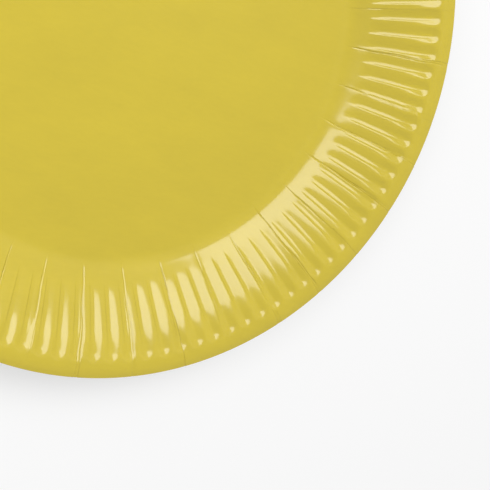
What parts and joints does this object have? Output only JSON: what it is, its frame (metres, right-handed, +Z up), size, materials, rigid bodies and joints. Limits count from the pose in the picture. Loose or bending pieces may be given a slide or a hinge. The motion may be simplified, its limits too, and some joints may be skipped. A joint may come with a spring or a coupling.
{
  "type": "stack of paper plates",
  "caption": "Nest of round pressed paper plates, each with a flat well, a steep foot, a fluted wall and a plain lip that turns down.",
  "frame": {"origin": "centre of the lowest plate's underside, where the stack stands", "axes": "+Z up along the axis of the plates; +X and +Y lie in the plane of the wells"},
  "size_m": [0.23, 0.23, 0.0174],
  "materials": {
    "board": "smooth paperboard with a glossy printed yellow face"
  },
  "bodies": {
    "root": {"plate_1": "board", "plate_2": "board", "plate_3": "board", "plate_4": "board", "plate_5": "board", "plate_6": "board"}
  },
  "joints": []
}
